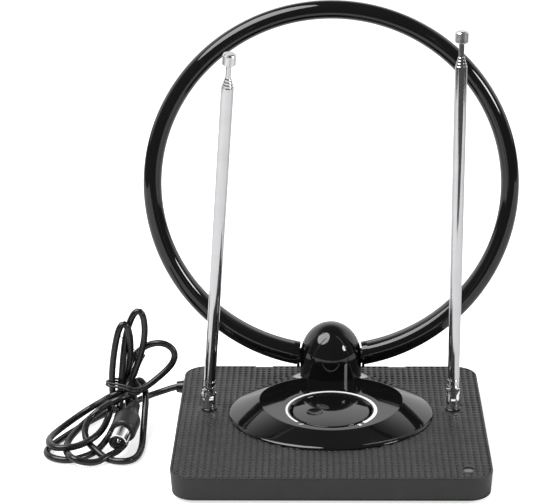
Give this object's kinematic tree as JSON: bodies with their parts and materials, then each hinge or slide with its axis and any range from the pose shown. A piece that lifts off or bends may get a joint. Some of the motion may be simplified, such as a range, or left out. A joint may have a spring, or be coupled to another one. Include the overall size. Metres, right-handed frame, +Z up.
{
  "type": "rabbit ears antenna",
  "caption": "Set-top television aerial: a tilting loop and two swivelling telescopic rods on a rectangular base with a gain knob, and a tied coaxial lead with a plug",
  "frame": {"origin": "centre of the base's footprint on the resting plane", "axes": "+X to the right seen from the front, +Y to the back where the loop's neck is, +Z up"},
  "size_m": [0.2445, 0.137, 0.2152],
  "materials": {
    "satin_black": "moulded satin black plastic",
    "grained_black": "moulded black plastic with a fine raised dot grid",
    "gloss_black": "polished piano-black plastic",
    "chrome_plate": "bright chrome plate",
    "silver_print": "silver hot-stamped foil",
    "zinc_steel": "zinc-plated steel",
    "brass": "plain brass",
    "pad_rubber": "soft black rubber",
    "cable_pvc": "satin black PVC jacket",
    "board_green": "green solder resist on glass-epoxy board",
    "part_black": "moulded black component bodies",
    "wire_red": "red wire insulation",
    "wire_white": "white wire insulation",
    "led_green": "diffused green epoxy",
    "smoke_lens": "smoked clear plastic"
  },
  "bodies": {
    "base": {"base_tub": "satin_black", "top_panel": "grained_black", "anti_slip_pad": "pad_rubber", "case_screws": "zinc_steel", "ballast_plate": "zinc_steel", "bezel": "gloss_black", "scale_arc": "silver_print", "scale_marks": "silver_print", "neck_front": "gloss_black", "neck_rear": "gloss_black", "neck_clamp_screws": "zinc_steel", "neck_base_screws": "zinc_steel", "circuit_board": "board_green", "board_screws": "zinc_steel", "shield_can": "zinc_steel", "board_components": "part_black", "potentiometer": "zinc_steel", "pot_nut": "zinc_steel", "led": "led_green", "led_lens": "smoke_lens", "led_wires": "wire_red", "rod_collars": "satin_black", "rod_contact_lugs": "brass", "rod_lead_wires": "wire_white", "loop_lead_wires": "brass", "strain_relief": "satin_black", "coax_cable": "cable_pvc", "cable_tie": "cable_pvc", "plug_body": "satin_black", "plug_ring": "chrome_plate", "plug_insulator": "part_black", "plug_pin": "brass"},
    "knob": {"knob": "gloss_black", "pot_shaft": "zinc_steel"},
    "loop": {"loop_front_shell": "gloss_black", "loop_rear_shell": "gloss_black", "loop_conductor": "brass", "loop_trunnion_left": "gloss_black", "loop_trunnion_right": "gloss_black"},
    "left_foot": {"left_foot": "chrome_plate", "left_foot_screw": "zinc_steel", "left_pivot_pin": "chrome_plate"},
    "left_section_1": {"left_tongue": "chrome_plate", "left_tube_1": "chrome_plate"},
    "left_section_2": {"left_tube_2": "chrome_plate"},
    "left_section_3": {"left_tube_3": "chrome_plate"},
    "left_section_4": {"left_tube_4": "chrome_plate"},
    "left_tip": {"left_tip_rod": "chrome_plate", "left_tip_cap": "chrome_plate"},
    "right_foot": {"right_foot": "chrome_plate", "right_foot_screw": "zinc_steel", "right_pivot_pin": "chrome_plate"},
    "right_section_1": {"right_tongue": "chrome_plate", "right_tube_1": "chrome_plate"},
    "right_section_2": {"right_tube_2": "chrome_plate"},
    "right_section_3": {"right_tube_3": "chrome_plate"},
    "right_section_4": {"right_tube_4": "chrome_plate"},
    "right_tip": {"right_tip_rod": "chrome_plate", "right_tip_cap": "chrome_plate"}
  },
  "joints": [
    {"name": "knob_turn", "type": "hinge", "parent": "base", "child": "knob", "pos_m": [0, -0.0027, 0.0165], "axis": [0, 0, 1], "range_deg": [-246, 20]},
    {"name": "loop_tilt", "type": "hinge", "parent": "base", "child": "loop", "pos_m": [0, 0.049, 0.0278], "axis": [1, 0, 0], "range_deg": [-86, 8]},
    {"name": "left_swivel", "type": "hinge", "parent": "base", "child": "left_foot", "pos_m": [-0.0622, 0.0128, 0.0145], "axis": [0, 0, 1], "continuous": true},
    {"name": "left_tilt", "type": "hinge", "parent": "left_foot", "child": "left_section_1", "pos_m": [-0.0622, 0.0128, 0.0215], "axis": [0.9078, 0.4195, 0], "range_deg": [-20.5, 79.5]},
    {"name": "left_slide_2", "type": "slide", "parent": "left_section_1", "child": "left_section_2", "axis": [0.0764, -0.1654, 0.9833], "range_m": [0, 0.148]},
    {"name": "left_slide_3", "type": "slide", "parent": "left_section_2", "child": "left_section_3", "axis": [0.0764, -0.1654, 0.9833], "range_m": [0, 0.148]},
    {"name": "left_slide_4", "type": "slide", "parent": "left_section_3", "child": "left_section_4", "axis": [0.0764, -0.1654, 0.9833], "range_m": [0, 0.148]},
    {"name": "left_slide_5", "type": "slide", "parent": "left_section_4", "child": "left_tip", "axis": [0.0764, -0.1654, 0.9833], "range_m": [0, 0.148]},
    {"name": "right_swivel", "type": "hinge", "parent": "base", "child": "right_foot", "pos_m": [0.0622, 0.0128, 0.0145], "axis": [0, 0, 1], "continuous": true},
    {"name": "right_tilt", "type": "hinge", "parent": "right_foot", "child": "right_section_1", "pos_m": [0.0622, 0.0128, 0.0215], "axis": [1, 0, 0], "range_deg": [-10, 90]},
    {"name": "right_slide_2", "type": "slide", "parent": "right_section_1", "child": "right_section_2", "axis": [0, 0, 1], "range_m": [0, 0.148]},
    {"name": "right_slide_3", "type": "slide", "parent": "right_section_2", "child": "right_section_3", "axis": [0, 0, 1], "range_m": [0, 0.148]},
    {"name": "right_slide_4", "type": "slide", "parent": "right_section_3", "child": "right_section_4", "axis": [0, 0, 1], "range_m": [0, 0.148]},
    {"name": "right_slide_5", "type": "slide", "parent": "right_section_4", "child": "right_tip", "axis": [0, 0, 1], "range_m": [0, 0.148]}
  ]
}
